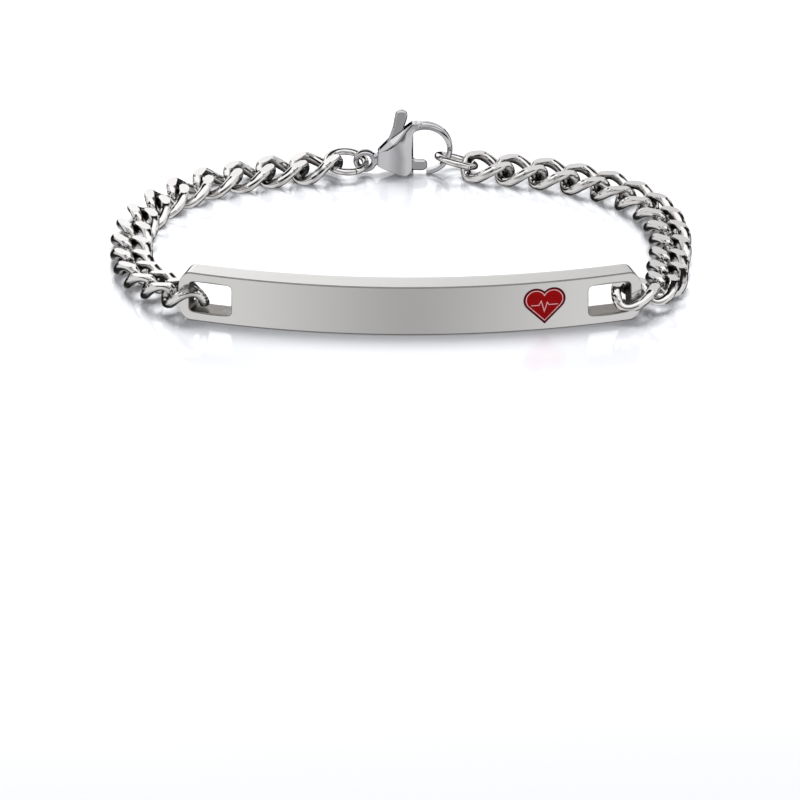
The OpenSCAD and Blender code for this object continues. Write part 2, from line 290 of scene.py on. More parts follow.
def hangBackdrop():
    # only the metal sees it, and it shows in whatever faces up
    x, y = studio["backdropWidth"] / 2, studio["backdropBehind"]
    low, high = studio["backdropFoot"], studio["backdropTop"]
    backdrop = flatSheet("backdrop", [(-x, y, low), (x, y, low), (x, y, high), (-x, y, high)], litPaper())
    backdrop.visible_camera = backdrop.visible_diffuse = backdrop.visible_shadow = False


def layFloor():
    half = studio["floorSize"] / 2
    corners = [(-half, -half, 0), (half, -half, 0), (half, half, 0), (-half, half, 0)]
    floor = flatSheet("floor", corners, whiteAcrylic())
    floor.visible_glossy = False


lightRoom()
hangLamp()
hangBackdrop()
layFloor()
print("stage 2: camera, room and floor")


# What all the steels share: fine drawn lines and soft hollows, as noise, and their depths in metres
steelGrain = {"lineDetail": 3.0, "lineRoughness": 0.6, "lineDepth": 0.00002, "wearFrom": 0.3, "wearTo": 0.7,
              "hollowDetail": 1.5, "hollowRoughness": 0.4, "hollowDepth": 0.0001}


def steel(name, finish):
    # Stainless steel: the tint of the metal, a roughness that wanders between polished and worn, and a
    # bump of drawn lines and of the soft hollows that polishing leaves. Line and hollow sizes are in mm.
    material, tree, shader = startMaterial(name)
    shader.inputs["Metallic"].default_value = 1.0
    place = addNode(tree, "ShaderNodeTexCoord").outputs["Object"]
    stretch = addNode(tree, "ShaderNodeMapping",
                      {"Vector": place, "Scale": finish["stretch"]}).outputs["Vector"]
    lines = addNode(tree, "ShaderNodeTexNoise", {
        "Vector": stretch, "Scale": 1000 / finish["lineSize"],
        "Detail": steelGrain["lineDetail"], "Roughness": steelGrain["lineRoughness"]}).outputs["Fac"]
    hollows = addNode(tree, "ShaderNodeTexNoise", {
        "Vector": place, "Scale": 1000 / finish["hollowSize"],
        "Detail": steelGrain["hollowDetail"], "Roughness": steelGrain["hollowRoughness"]}).outputs["Fac"]
    tint = addNode(tree, "ShaderNodeMix", {
        0: hollows, 6: linear(finish["tint"]), 7: linear(finish["shade"])}, data_type="RGBA").outputs[2]
    # a dark colour that the attribute mixes in: heat scale and painted shade in the chain's seats and under
    # its wires
    if "darkOxideAndPaintedShade" in finish:
        left = addNode(tree, "ShaderNodeAttribute", attribute_name="paintedShadeAndOxide").outputs["Fac"]
        tint = addNode(tree, "ShaderNodeMix", {0: left, 6: tint, 7: linear(finish["darkOxideAndPaintedShade"])},
                       data_type="RGBA").outputs[2]
    tree.links.new(tint, shader.inputs["Base Color"])
    polish = addNode(tree, "ShaderNodeMapRange", {
        "Value": lines, "From Min": steelGrain["wearFrom"], "From Max": steelGrain["wearTo"],
        "To Min": finish["polished"], "To Max": finish["worn"]})
    tree.links.new(polish.outputs["Result"], shader.inputs["Roughness"])
    lineBump = addNode(tree, "ShaderNodeBump", {
        "Height": lines, "Strength": finish["lineBump"], "Distance": steelGrain["lineDepth"]})
    bump = addNode(tree, "ShaderNodeBump", {
        "Height": hollows, "Strength": finish["hollowBump"], "Distance": steelGrain["hollowDepth"],
        "Normal": lineBump.outputs["Normal"]})
    tree.links.new(bump.outputs["Normal"], shader.inputs["Normal"])
    return material


# 316L steel plate, ground lengthwise and buffed: a soft mirror with faint lengthwise lines
plateSteel = steel("steel_316_plate_buffed", {
    "tint": "#d0cfce", "shade": "#cbcac9", "stretch": (0.06, 1.0, 1.0), "lineSize": 0.25, "hollowSize": 14,
    "polished": 0.13, "worn": 0.18, "lineBump": 0.012, "hollowBump": 0.01})
# The plate's back, ground lengthwise and left so: satin, so it blurs the room to one even grey
backSteel = steel("steel_316_plate_back_ground", {
    "tint": "#d6d4d2", "shade": "#cdcbc9", "stretch": (0.05, 1.0, 1.0), "lineSize": 0.2, "hollowSize": 6,
    "polished": 0.4, "worn": 0.52, "lineBump": 0.08, "hollowBump": 0.01})
# The plate's windows and its front edges, milled and left unbuffed: darker, with no clear reflection
milledSteel = steel("steel_316_milled_edge", {
    "tint": "#a19d99", "shade": "#8b8783", "stretch": (1.0, 1.0, 0.1), "lineSize": 0.3, "hollowSize": 1.5,
    "polished": 0.25, "worn": 0.4, "lineBump": 0.1, "hollowBump": 0.03})
# Drawn steel wire, bent, welded and tumble-polished: nearly a mirror, so the room's edges show as dark
# lines. A dark colour is painted in the seats and under the inner sides: partly the heat's dark scale, out
# of the tumbling's reach, and partly painted shade
chainSteel = steel("steel_wire_tumble_polished", {
    "tint": "#dddbda", "shade": "#d0cecd", "stretch": (1.0, 1.0, 1.0), "lineSize": 0.8, "hollowSize": 4.0,
    "polished": 0.05, "worn": 0.1, "lineBump": 0.01, "hollowBump": 0.01, "darkOxideAndPaintedShade": "#403b38"})
# The same wire where the finished chain was ground flat above and below: a duller mirror, finely scratched
groundSteel = steel("steel_wire_ground_flat", {
    "tint": "#dcdad9", "shade": "#d3d1d0", "stretch": (1.0, 1.0, 1.0), "lineSize": 0.2, "hollowSize": 3.0,
    "polished": 0.14, "worn": 0.2, "lineBump": 0.02, "hollowBump": 0.01})
# Sheet steel for the lever, stamped and tumbled, and a little duller than the cast body; its greyer tint is
# painted shade
shadedStampedSteel = steel("steel_sheet_stamped_painted_shade", {
    "tint": "#b9b8ba", "shade": "#acabae", "stretch": (1.0, 1.0, 1.0), "lineSize": 0.4, "hollowSize": 3.0,
    "polished": 0.1, "worn": 0.16, "lineBump": 0.02, "hollowBump": 0.02})
# Investment-cast steel, barrel-polished: a mirror with the slow waves of a casting
claspSteel = steel("steel_cast_barrel_polished", {
    "tint": "#c7c6c9", "shade": "#b9b8bc", "stretch": (1.0, 1.0, 1.0), "lineSize": 0.8, "hollowSize": 3.5,
    "polished": 0.05, "worn": 0.08, "lineBump": 0.02, "hollowBump": 0.03})

# What the enamels share: a skin that mirrors little, with shallow waves whose depth is in metres
enamelSkin = {"mirror": 0.06, "poolDetail": 3.0, "wave": 0.08, "waveDepth": 0.00005}


def enamel(name, finish):
    # Fired glass enamel: colour that pools darker in places, under a clear polished skin
    material, tree, shader = startMaterial(name)
    place = addNode(tree, "ShaderNodeTexCoord").outputs["Object"]
    pools = addNode(tree, "ShaderNodeTexNoise", {"Vector": place, "Scale": 1000 / finish["poolSize"],
                                                 "Detail": enamelSkin["poolDetail"]}).outputs["Fac"]
    colour = addNode(tree, "ShaderNodeMix", {
        0: pools, 6: linear(finish["colour"]), 7: linear(finish["pooled"])}, data_type="RGBA").outputs[2]
    tree.links.new(colour, shader.inputs["Base Color"])
    shader.inputs["Roughness"].default_value = finish["roughness"]
    shader.inputs["Specular IOR Level"].default_value = enamelSkin["mirror"]
    bump = addNode(tree, "ShaderNodeBump", {"Height": pools, "Strength": enamelSkin["wave"],
                                            "Distance": enamelSkin["waveDepth"]})
    tree.links.new(bump.outputs["Normal"], shader.inputs["Normal"])
    return material


# Vitreous enamel, kiln-fired and stoned flat: smooth deep red, a darker red where it meets the steel, and
# a pale pink line
redEnamel = enamel("enamel_red_fired", {
    "colour": "#b30206", "pooled": "#970107", "poolSize": 1.2, "roughness": 0.3})
rimEnamel = enamel("enamel_dark_red_fired", {
    "colour": "#70020f", "pooled": "#5c010a", "poolSize": 0.8, "roughness": 0.3})
paleEnamel = enamel("enamel_pale_line_fired", {
    "colour": "#ffd0ce", "pooled": "#eeaeb0", "poolSize": 0.6, "roughness": 0.35})
print("stage 3: materials")


# Curb links, each one where its CAD link is. The last three rows say where the dark colour is painted, as
# heat scale and
# painted shade: in the seats at the link's ends, and on the inner side of the wire where it faces down.
linkShape = {
    "length": 7.05, "width": 5.5, "wire": 1.33, "seatWire": 1.2, "twist": 58, "fullness": 0.25,
    "groundTop": 1.33, "groundBottom": 1.25, "steps": 96, "roundSteps": 7, "flatSteps": 4,
    "edgeLimits": (-0.9, 0.985), "closeToFlat": 0.001,
    "seat": (0.7, 0.95),
    "innerSide": (0.1, 0.8),
    "underside": (-0.4, 0.3)}


def linkSurface(shape):
    # Two parameters. a goes round the link: x = A cos a, y = B sin a (1 + fullness cos^2 a), and y is
    # turned about x by -twist cos a. b goes round the wire, which is cut flat where it would pass the
    # faces; the columns of b move so that one runs along each edge of a cut. The second result says, from
    # 0 to 1, how dark each point is painted: the heat's scale out of the tumbling's reach, and painted
    #                                         shade.
    a = np.linspace(0, 2 * np.pi, shape["steps"], endpoint=False)
    turn = -np.radians(shape["twist"]) * np.cos(a)
    y = (shape["width"] - shape["seatWire"]) / 2 * np.sin(a) * (1 + shape["fullness"] * np.cos(a) ** 2)
    x = (shape["length"] - shape["seatWire"]) / 2 * np.cos(a)
    middle = np.stack([x, y * np.cos(turn), y * np.sin(turn)], 1)
    along = np.roll(middle, -1, 0) - np.roll(middle, 1, 0)
    side = np.cross([0, 0, 1], along)
    side /= np.linalg.norm(side, axis=1, keepdims=True)
    up = np.cross(along, side)
    up /= np.linalg.norm(up, axis=1, keepdims=True)
    r, top, bottom = shape["wire"] / 2, shape["groundTop"], shape["groundBottom"]
    topEdge = np.arcsin(np.clip((top - middle[:, 2]) / (r * up[:, 2]), *shape["edgeLimits"]))
    lowEdge = np.arcsin(np.clip((bottom + middle[:, 2]) / (r * up[:, 2]), *shape["edgeLimits"]))
    corners = np.stack([-lowEdge, topEdge, np.pi - topEdge, np.pi + lowEdge, 2 * np.pi - lowEdge], 1)
    shares = [np.linspace(0, 1, n, endpoint=False) for n in (shape["roundSteps"], shape["flatSteps"]) * 2]
    b = np.concatenate([corners[:, k, None] + (corners[:, k + 1] - corners[:, k])[:, None] * s
                        for k, s in enumerate(shares)], 1)
    sideways, upwards = np.cos(b)[..., None] * side[:, None], np.sin(b)[..., None] * up[:, None]
    points = middle[:, None] + r * (sideways + upwards)
    points[..., 2] = np.clip(points[..., 2], -bottom, top)
    # painted shade and heat scale: darkest in the seats and on the inner side where the wire faces down
    seat = between(np.abs(np.cos(a)), *shape["seat"])[:, None]
    below = between(-np.sin(b), *shape["underside"])
    return points, between(np.cos(b), *shape["innerSide"]) * np.maximum(below, seat)


def nodePose(name):
    # the middle of a node's corners and their principal axes: longest, middle, shortest, right-handed
    corners = readValues(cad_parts[name].data.vertices, "co", width=3) * 1000
    middle = corners.mean(0)
    axes = np.linalg.eigh(np.cov((corners - middle).T))[1][:, ::-1].copy()
    axes[:, 2] *= np.sign(axes[2, 2])
    axes[:, 1] = np.cross(axes[:, 2], axes[:, 0])
    return middle, axes


linkPoints, linkPaintedShadeAndOxide = linkSurface(linkShape)
linkQuads = gridFaces(linkPoints.shape[0], linkPoints.shape[1], closedRows=True)
linkHeights = linkPoints.reshape(-1, 3)[linkQuads][..., 2]
onTop = (linkHeights > linkShape["groundTop"] - linkShape["closeToFlat"]).all(1)
underneath = (linkHeights < linkShape["closeToFlat"] - linkShape["groundBottom"]).all(1)
for node in [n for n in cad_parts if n.startswith("link_")]:
    middle, axes = nodePose(node)
    link = makePiece("polished_" + node, linkPoints.reshape(-1, 3) @ axes.T + middle, linkQuads,
                     [chainSteel, groundSteel], sharpAngle=22, faceMaterials=onTop | underneath)
    # how dark each corner is painted, heat scale and painted shade
    paintedShadeAndOxide = link.data.attributes.new("paintedShadeAndOxide", "FLOAT", "POINT")
    paintedShadeAndOxide.data.foreach_set("value", linkPaintedShadeAndOxide.ravel())
    standsFor(link, "root", "chain_steel", node)
print("stage 4: chain links")


# Jump rings: round wire, closed with a saw cut. Each ring's turns are about X, Y and Z, in degrees.
rings = {"left": {"turn": (8, 3, 8), "cutAngle": -70}, "right": {"turn": (-18, 13, -10), "cutAngle": 70}}
ringWire = {"across": 5.0, "wire": 0.9, "cut": 0.1, "endRound": 0.09,
            "steps": 119, "endSteps": 4, "sides": 24}


def turned(degrees):
    # turns about X, then Y, then Z
    x, y, z = np.radians(degrees)
    aboutX = np.array([[1, 0, 0], [0, np.cos(x), -np.sin(x)], [0, np.sin(x), np.cos(x)]])
    aboutY = np.array([[np.cos(y), 0, np.sin(y)], [0, 1, 0], [-np.sin(y), 0, np.cos(y)]])
    aboutZ = np.array([[np.cos(z), -np.sin(z), 0], [np.sin(z), np.cos(z), 0], [0, 0, 1]])
    return aboutZ @ aboutY @ aboutX


def ringSurface(wire, cutAngle):
    # a runs from one side of the cut round to the other, b round the wire, whose radius drops in a quarter
    # round at each end
    ringR, wireR, ease = wire["across"] / 2, wire["wire"] / 2, wire["endRound"]
    endS = ease * (1 - np.cos(np.linspace(0, np.pi / 2, wire["endSteps"] + 1)))
    length = 2 * np.pi * ringR - wire["cut"]
    evenS = np.linspace(ease, length - ease, wire["steps"] + 1)[1:-1]
    s = np.concatenate([endS, evenS, length - endS[::-1]])
    fromEnd = np.minimum(np.minimum(s, length - s), ease)
    r = wireR - (ease - np.sqrt(ease ** 2 - (ease - fromEnd) ** 2))
    a = np.radians(cutAngle) + (s + wire["cut"] / 2) / ringR
    b = np.linspace(0, 2 * np.pi, wire["sides"], endpoint=False)
    out = ringR + r[:, None] * np.cos(b)
    return np.stack([out * np.cos(a)[:, None], out * np.sin(a)[:, None], r[:, None] * np.sin(b)], -1)


for side, ring in rings.items():
    node = "jump_ring_" + side
    lowCorner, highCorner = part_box(node)
    surface = ringSurface(ringWire, ring["cutAngle"])
    placed = surface @ turned(ring["turn"]).T + np.array((lowCorner + highCorner) / 2) * 1000
    jumpRing = makePiece("polished_" + node, placed, cappedFaces(*surface.shape[:2]), [chainSteel],
                         sharpAngle=40)
    standsFor(jumpRing, "root", "chain_steel", node)
print("stage 5: jump rings")


# Identity plate: a bowed bar whose section is a rounded rectangle. Steps are the cells of the grid along
# each stretch, and the cutters reach beyond the plate so that they cut it clean. The last row says how near
# to the face's arc a corner counts as on it, and how squarely it has to look outwards.
plate = {
    "length": 61.4, "height": 6.8, "thickness": 3.3, "endThickness": 2.9, "barThickness": 2.1,
    "bowRadius": 90, "shift": 1.2, "cornerLength": 1.7, "cornerHeight": 2.5, "edgeRound": 0.15,
    "windowLength": 5.7, "windowHeight": 4.2, "windowRound": 0.6, "windowEase": 0.14, "bar": 1.5,
    "barRound": 0.3, "steps": 149, "cornerSteps": 24, "endSteps": 5, "roundSteps": 6, "faceSteps": 12,
    "edgeSteps": 6, "outlineSteps": 8, "easeSteps": 6, "leastRound": 0.001,
    "beyond": 1.0, "cutterDepth": 6.0, "easeFrom": 14, "easeTail": 1.2,
    "onArc": 0.02, "outwards": 0.99}
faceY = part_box("id_plate")[0].y * 1000
bow = plate["bowRadius"]
bowMiddle = np.array([plate["shift"], faceY + bow])
halfAngle = plate["length"] / 2 / bow
backX = (bow - plate["endThickness"]) * math.sin(halfAngle)
backSag = bow - (bow - plate["endThickness"]) * math.cos(halfAngle) - plate["thickness"]
backRadius = (backX ** 2 + backSag ** 2) / 2 / backSag


def plateThickness(angle):
    # from the face, along a ray to the bow's middle, to the wider arc of the back
    backMiddle = plate["thickness"] + backRadius - bow
    across = -backMiddle * np.cos(angle)
    return bow - across - np.sqrt(across ** 2 - backMiddle ** 2 + backRadius ** 2)


def bent(along, depth, height):
    # a place on the plate: millimetres along its face, behind it and above the surface
    angle = along / bow
    x = bowMiddle[0] + (bow - depth) * np.sin(angle)
    y = bowMiddle[1] - (bow - depth) * np.cos(angle)
    return np.stack(np.broadcast_arrays(x, y, height), -1)


def plateSurface():
    # s runs along the plate, v round its section: a rectangle with round corners that is lowered by a
    # quarter ellipse towards each end, and eased by a quarter round over its last edges. v starts at the
    # front's upper round, and each round is joined to the next by a straight stretch.
    half, ease, quarterTurn = plate["length"] / 2, plate["edgeRound"], np.pi / 2
    corner = plate["cornerLength"] * (1 - np.cos(np.linspace(0, quarterTurn, plate["cornerSteps"] + 1)))
    ending = ease * (1 - np.cos(np.linspace(0, quarterTurn, plate["endSteps"] + 1)))
    endings = np.unique(np.concatenate([ending, corner]).round(5))
    straight = half - plate["cornerLength"]
    s = np.concatenate([endings - half, np.linspace(-straight, straight, plate["steps"] + 1)[1:-1],
                        (half - endings)[::-1]])
    fromEnd = half - np.abs(s)
    lowered = 1 - np.sqrt(1 - (1 - np.minimum(fromEnd / plate["cornerLength"], 1)) ** 2)
    inset = ease - np.sqrt(ease ** 2 - (ease - np.minimum(fromEnd, ease)) ** 2)
    high = (plate["height"] / 2 - plate["cornerHeight"] * lowered - inset)[:, None]
    deep = (plateThickness(s / bow) / 2 - inset)[:, None]
    r = np.maximum(ease - inset, plate["leastRound"])[:, None]
    quarter = np.linspace(0, quarterTurn, plate["roundSteps"] + 1)
    rounds = []
    for k, (backwards, upwards) in enumerate([(-1, 1), (-1, -1), (1, -1), (1, 1)]):
        turn = quarter + (k + 1) % 4 * quarterTurn
        depth, height = backwards * (deep - r) + r * np.cos(turn), upwards * (high - r) + r * np.sin(turn)
        rounds.append(np.stack([depth, height]))
    section = []
    for k, steps in enumerate([plate["faceSteps"], plate["edgeSteps"]] * 2):
        start, end = rounds[k][..., -1:], rounds[(k + 1) % 4][..., :1]
        section += [rounds[k], start + (end - start) * np.linspace(0, 1, steps + 1)[1:-1]]
    depths, heights = np.concatenate(section, -1)
    middle = plateThickness(s / bow)[:, None] / 2
    return bent(s[:, None], middle + depths, plate["height"] / 2 + heights)


def roundedOutline(width, height, r):
    # four quarter rounds, and the way out from the outline at each of their points
    corner = np.linspace(0, np.pi / 2, plate["outlineSteps"] + 1)
    outline, normals = [], []
    for k, (x, z) in enumerate([(1, 1), (-1, 1), (-1, -1), (1, -1)]):
        way = np.stack([np.cos(corner + k * np.pi / 2), np.sin(corner + k * np.pi / 2)], 1)
        outline.append(np.array([x * (width / 2 - r), z * (height / 2 - r)]) + r * way)
        normals.append(way)
    return np.concatenate(outline), np.concatenate(normals)


def atEnd(side, fromEnd, depth, height):
    # a place near one end: along the end's tangent, straight in behind the face there, and up
    angle = side * halfAngle
    x = bowMiddle[0] + (bow - depth) * np.sin(angle) + fromEnd * np.cos(angle)
    y = bowMiddle[1] - (bow - depth) * np.cos(angle) + fromEnd * np.sin(angle)
    return np.stack(np.broadcast_arrays(x, y, height), -1)


def barCutter(side):
    # what is taken off the back of the end bar: a block with round edges, behind the bar's own thickness
    outline, _ = roundedOutline(plate["bar"] + plate["beyond"], plate["windowHeight"], plate["barRound"])
    along = side * (plate["beyond"] - plate["bar"]) / 2 + outline[:, 0]
    points = np.stack([atEnd(side, along, depth, plate["height"] / 2 + outline[:, 1])
                       for depth in (plate["barThickness"], plate["cutterDepth"])])
    return points, cappedFaces(2, len(outline))


def windowCutter(side):
    # u runs round the window, v through the plate: straight walls that open in a round at each face, from
    # the angle easeFrom to square, with a straight tail past the face
    outline, normals = roundedOutline(plate["windowLength"], plate["windowHeight"], plate["windowRound"])
    ease = plate["windowEase"]
    opening = np.linspace(math.radians(plate["easeFrom"]), np.pi / 2, plate["easeSteps"] + 1)
    out = ease * (1 - np.sin(opening))
    step = ease * (1 - np.cos(opening))
    tail = plate["easeTail"] * ease * np.array([np.cos(opening[0]), np.sin(opening[0])])
    out = np.concatenate([[out[0] + tail[0]] * 2, out])
    inward = np.concatenate([[-plate["beyond"], step[0] - tail[1]], step])
    local = outline[:, None] + normals[:, None] * np.concatenate([out, out[::-1]])[None, :, None]
    fromEnd = -side * (plate["bar"] + plate["windowLength"] / 2) + local[..., 0]
    faceDepth = bow - np.sqrt(bow ** 2 - fromEnd ** 2)
    backDepth = faceDepth + plateThickness(halfAngle - np.abs(fromEnd) / bow)
    front = len(inward)
    depth = np.concatenate([faceDepth[:, :front] + inward, backDepth[:, front:] - inward[::-1]], 1)
    points = atEnd(side, fromEnd, depth, plate["height"] / 2 + local[..., 1])
    rows, columns = points.shape[:2]
    faces = gridFaces(rows, columns, closedRows=True, closedColumns=False).tolist()
    faces += [[i * columns for i in range(rows)], [i * columns + columns - 1 for i in range(rows)]]
    return points, faces


# Emblem: an enamelled heart let into the face, with a dark rim, a pale line and a heartbeat line
emblem = {
    "width": 5.5, "shift": 17.6, "depth": 0.35, "clearance": 0.05, "cutterFront": 0.6, "steps": 24,
    "rim": 0.26, "line": 0.13, "proud": 0.012, "crown": 0.03, "crownMiddle": (0, 0.25),
    "crownSteps": (0.2, 0.45, 0.7, 0.9), "beatWidth": 0.12, "beatDepth": 0.05, "beatProud": 0.052,
    "beat": [(-1.75, 0.15), (-0.75, 0.15), (-0.45, 0.75), (-0.05, -0.75), (0.35, 0.5), (0.6, 0.15),
             (1.75, 0.15)]}


def heartOutline(width, inset):
    # A square on its corner with a half disc on each upper side: it is side (1 + sqrt 2 / 2) wide and
    # side (0.75 sqrt 2 + 0.5) high, and moved down by half its height. An inset shrinks the discs about
    # their middles and lifts the lowest corner.
    side = width / (0.5 * math.sqrt(2) + 1)
    lobe = np.array([side, 3 * side]) / 2 / math.sqrt(2)
    r = side / 2 - inset
    notch = math.acos(-lobe[0] / r)
    a = np.linspace(-np.pi / 4, notch, emblem["steps"])
    arc = lobe + r * np.stack([np.cos(a), np.sin(a)], 1)
    tip = np.array([0, inset * math.sqrt(2)])
    slope = tip + (arc[0] - tip) * np.linspace(0, 1, emblem["steps"])[:-1, None]
    right = np.concatenate([slope, arc])
    left = right[1:-1][::-1] * [-1, 1]
    return np.concatenate([right, left]) - [0, side * (0.75 * math.sqrt(2) + 0.5) / 2]


def laidOnFace(flat, depth):
    # lays a flat drawing on the bowed face, in front of it where the depth is negative
    return bent(emblem["shift"] + flat[..., 0], depth, plate["height"] / 2 + flat[..., 1])


def pocketCutter():
    # the heart's outline, a little wider and deeper than the enamel, carried from before the face inwards
    outline = heartOutline(emblem["width"] + 2 * emblem["clearance"], 0)
    points = np.stack([laidOnFace(outline, depth)
                       for depth in (-emblem["cutterFront"], emblem["depth"] + emblem["clearance"])])
    return points, cappedFaces(2, len(outline))


def cutOut(piece, cutters):
    # the cut faces keep the cutters' material
    for cutter in cutters:
        cut = piece.modifiers.new(cutter.name, "BOOLEAN")
        cut.operation, cut.solver, cut.material_mode = "DIFFERENCE", "EXACT", "TRANSFER"
        cut.object = cutter
    weights = piece.modifiers.new("evenShading", "WEIGHTED_NORMAL")
    weights.keep_sharp = True
    finished = keepModified(piece)
    for cutter in cutters:
        bpy.data.objects.remove(cutter)
    return finished


def shadeAlongBow(mesh):
    # every corner on the bowed face is shaded along the bow's own radius, so that the cuts leave no trace
    # around them
    corners = readValues(mesh.loops, "vertex_index", np.int32)
    sizes = readValues(mesh.polygons, "loop_total", np.int32)
    facing = np.repeat(readValues(mesh.polygons, "normal", width=3), sizes, 0)
    out = readValues(mesh.vertices, "co", width=3)[corners] * 1000 - [*bowMiddle, 0]
    out[:, 2] = 0
    away = np.linalg.norm(out, axis=1, keepdims=True)
    out /= away
    onFace = ((facing * out).sum(1) > plate["outwards"]) & (np.abs(away[:, 0] - bow) < plate["onArc"])
    normals = readValues(mesh.corner_normals, "vector", width=3)
    mesh.normals_split_custom_set(np.where(onFace[:, None], out, normals).tolist())


plateGrid = plateSurface()
# the finish of each stretch of the section: the front's upper round, the face, its lower round, the lower
# edge, the back's lower round, the back, its upper round and the upper edge
buffed, milled, satin = 0, 1, 2
stretches = [milled, buffed, milled, buffed, buffed, satin, buffed, buffed]
cells = [plate["roundSteps"], plate["faceSteps"], plate["roundSteps"], plate["edgeSteps"]] * 2
plateMaterials = np.tile(np.repeat(stretches, cells), plateGrid.shape[0] - 1)
plateBody = makePiece("buffed_id_plate", plateGrid, cappedFaces(*plateGrid.shape[:2]),
                      [plateSteel, milledSteel, backSteel], sharpAngle=40,
                      faceMaterials=np.concatenate([plateMaterials, [buffed, buffed]]))
plateFinished = cutOut(plateBody, [makePiece("cut_window_left", *windowCutter(-1), [milledSteel]),
                                   makePiece("cut_window_right", *windowCutter(1), [milledSteel]),
                                   makePiece("cut_bar_left", *barCutter(-1), [milledSteel]),
                                   makePiece("cut_bar_right", *barCutter(1), [milledSteel]),
                                   makePiece("cut_pocket", *pocketCutter(), [milledSteel])])
shadeAlongBow(plateFinished)
standsFor(plateBody, "root", "plate_steel", "id_plate")
print("stage 6: identity plate,", len(plateFinished.polygons), "faces")


def heartSurface():
    # outlines one inside the other: up the wall, over the rim and the pale line, and in over a low crown,
    # which rises by 1 - (1 - share)^2 on the way to the middle
    rim, line, proud = emblem["rim"], emblem["line"], emblem["proud"]
    outlines = [heartOutline(emblem["width"], inset) for inset in (0, 0, rim / 2, rim, rim + line)]
    levels = [emblem["depth"], 0.0, -proud, -proud, -proud]
    for share in emblem["crownSteps"]:
        outlines.append(outlines[4] + (np.array(emblem["crownMiddle"]) - outlines[4]) * share)
        levels.append(-proud - emblem["crown"] * (1 - (1 - share) ** 2))
    return np.stack([laidOnFace(outline, level) for outline, level in zip(outlines, levels)])


def beatSurface():
    # a flat line of even width, mitred at its corners, with walls down into the red
    beat = np.array(emblem["beat"])
    ways = np.diff(beat, axis=0) / np.linalg.norm(np.diff(beat, axis=0), axis=1, keepdims=True)
    normals = np.stack([-ways[:, 1], ways[:, 0]], 1)
    mitres = np.concatenate([normals[:1], normals[:-1] + normals[1:], normals[-1:]])
    mitres[1:-1] /= (np.linalg.norm(mitres[1:-1], axis=1, keepdims=True) ** 2 / 2)
    above, below = beat + mitres * emblem["beatWidth"] / 2, beat - mitres * emblem["beatWidth"] / 2
    low, high = emblem["beatDepth"], -emblem["beatProud"]
    return np.stack([laidOnFace(above, low), laidOnFace(above, high),
                     laidOnFace(below, high), laidOnFace(below, low)], 1)


heartShells, beatStrip = heartSurface(), beatSurface()
heartFaces, beatFaces = cappedFaces(*heartShells.shape[:2]), cappedFaces(*beatStrip.shape[:2])
beatStart = heartShells.shape[0] * heartShells.shape[1]
red, dark, pale = 0, 1, 2
heartMaterials = np.repeat([dark] * 3 + [pale] + [red] * len(emblem["crownSteps"]), heartShells.shape[1])
beatMaterials = np.full(len(beatFaces), pale)
heart = makePiece("enamel_heart", np.concatenate([heartShells.reshape(-1, 3), beatStrip.reshape(-1, 3)]),
                  heartFaces + [[beatStart + corner for corner in face] for face in beatFaces],
                  [redEnamel, rimEnamel, paleEnamel], sharpAngle=50,
                  faceMaterials=np.concatenate([heartMaterials, [dark, red], beatMaterials]))
standsFor(heart, "root", "red_enamel", "emblem")
print("stage 7: emblem")


# Lobster clasp: a cast body and a stamped lever. Each starts from its CAD solid, remade in small even
# faces, whose size is its grain, and tumbled smooth: each pass of the tumbling moves every corner towards
# its neighbours' middle by the share tumbled.
claspPieces = {
    "clasp_body": {"name": "cast_clasp_body", "grain": 0.06, "passes": 7, "tumbled": 0.5},
    "clasp_lever": {"name": "stamped_clasp_lever", "grain": 0.05, "passes": 12, "tumbled": 0.5}}

# The body's form, in the row frame: x and z of the rounds that its outline is drawn round, and their radii,
# then the half thickness of the casting, of the belly, the hook, the slot and the eye, and the bevels, each
# with its half thickness at the edge and its slope. A pair whose name ends in Pass says between which
# places one form passes into the next.
bodyForm = {
    "neck": (-3.235, 2.16, 0.656), "shoulder": (-0.861, 4.396, 0.857), "crown": (1.848, 6.37, 1.006),
    "hook": (3.025, 3.725, 3.725), "gap": (3.145, 3.585, 2.905), "foot": (0.429, 1.043, 1.043),
    "eye": (-4.6, 1.9, 1.55), "eyeHole": 0.8, "mouth": 1.642,
    "castX": [-2.99, -1.506, -0.345, 1.074, 1.719, 2.88, 3.654],
    "castHalf": [0.685, 1.175, 1.35, 1.35, 1.28, 0.825, 0.65], "castEye": -3.1, "drawnShare": (0.08, 1.1),
    "ridge": -0.15, "half": 1.35, "fallLeft": 0.075, "fallRight": 0.13, "fallStraight": 2,
    "hookHalf": 0.65, "hookLean": 0.6, "hookPass": (3.2, 8.8), "hookFrom": 2.9,
    "slot": 0.52, "slotStartPass": (-3.0, -2.75), "slotEndPass": (1.68, 1.85),
    "eyeHalf": 0.6, "eyeReach": 0.9, "eyeLeast": 0.06, "eyePass": (-3.3, -2.8),
    "bevel": 1.0, "cheekEdge": 0.6, "hookEdge": 0.28, "edgePass": (1.5, 2.4), "lean": (0.35, 0.49),
    "leanCut": (0.05, 0.105), "gapEdge": 0.47, "gapBevel": 0.4, "gapPass": (1.4, 2.0),
    "footEdge": 0.9, "footBevel": 1.6, "footFrom": (0.03, 1.04),
    "mouthEdge": 0.58, "mouthBevel": 1.9, "mouthReach": 0.1, "mouthTop": 5.9}


def insideRound(x, z, form):
    return form[2] - np.hypot(x - form[0], z - form[1])


def insideEdge(x, z, first, second, side=1):
    # distance inside the straight edge that touches two rounds, above them for side 1 and below for -1
    (xa, za, ra), (xb, zb, rb) = first, second
    out = math.atan2(zb - za, xb - xa) + side * math.acos((ra - rb) / math.hypot(xb - xa, zb - za))
    return ra - (x - xa) * math.cos(out) - (z - za) * math.sin(out)


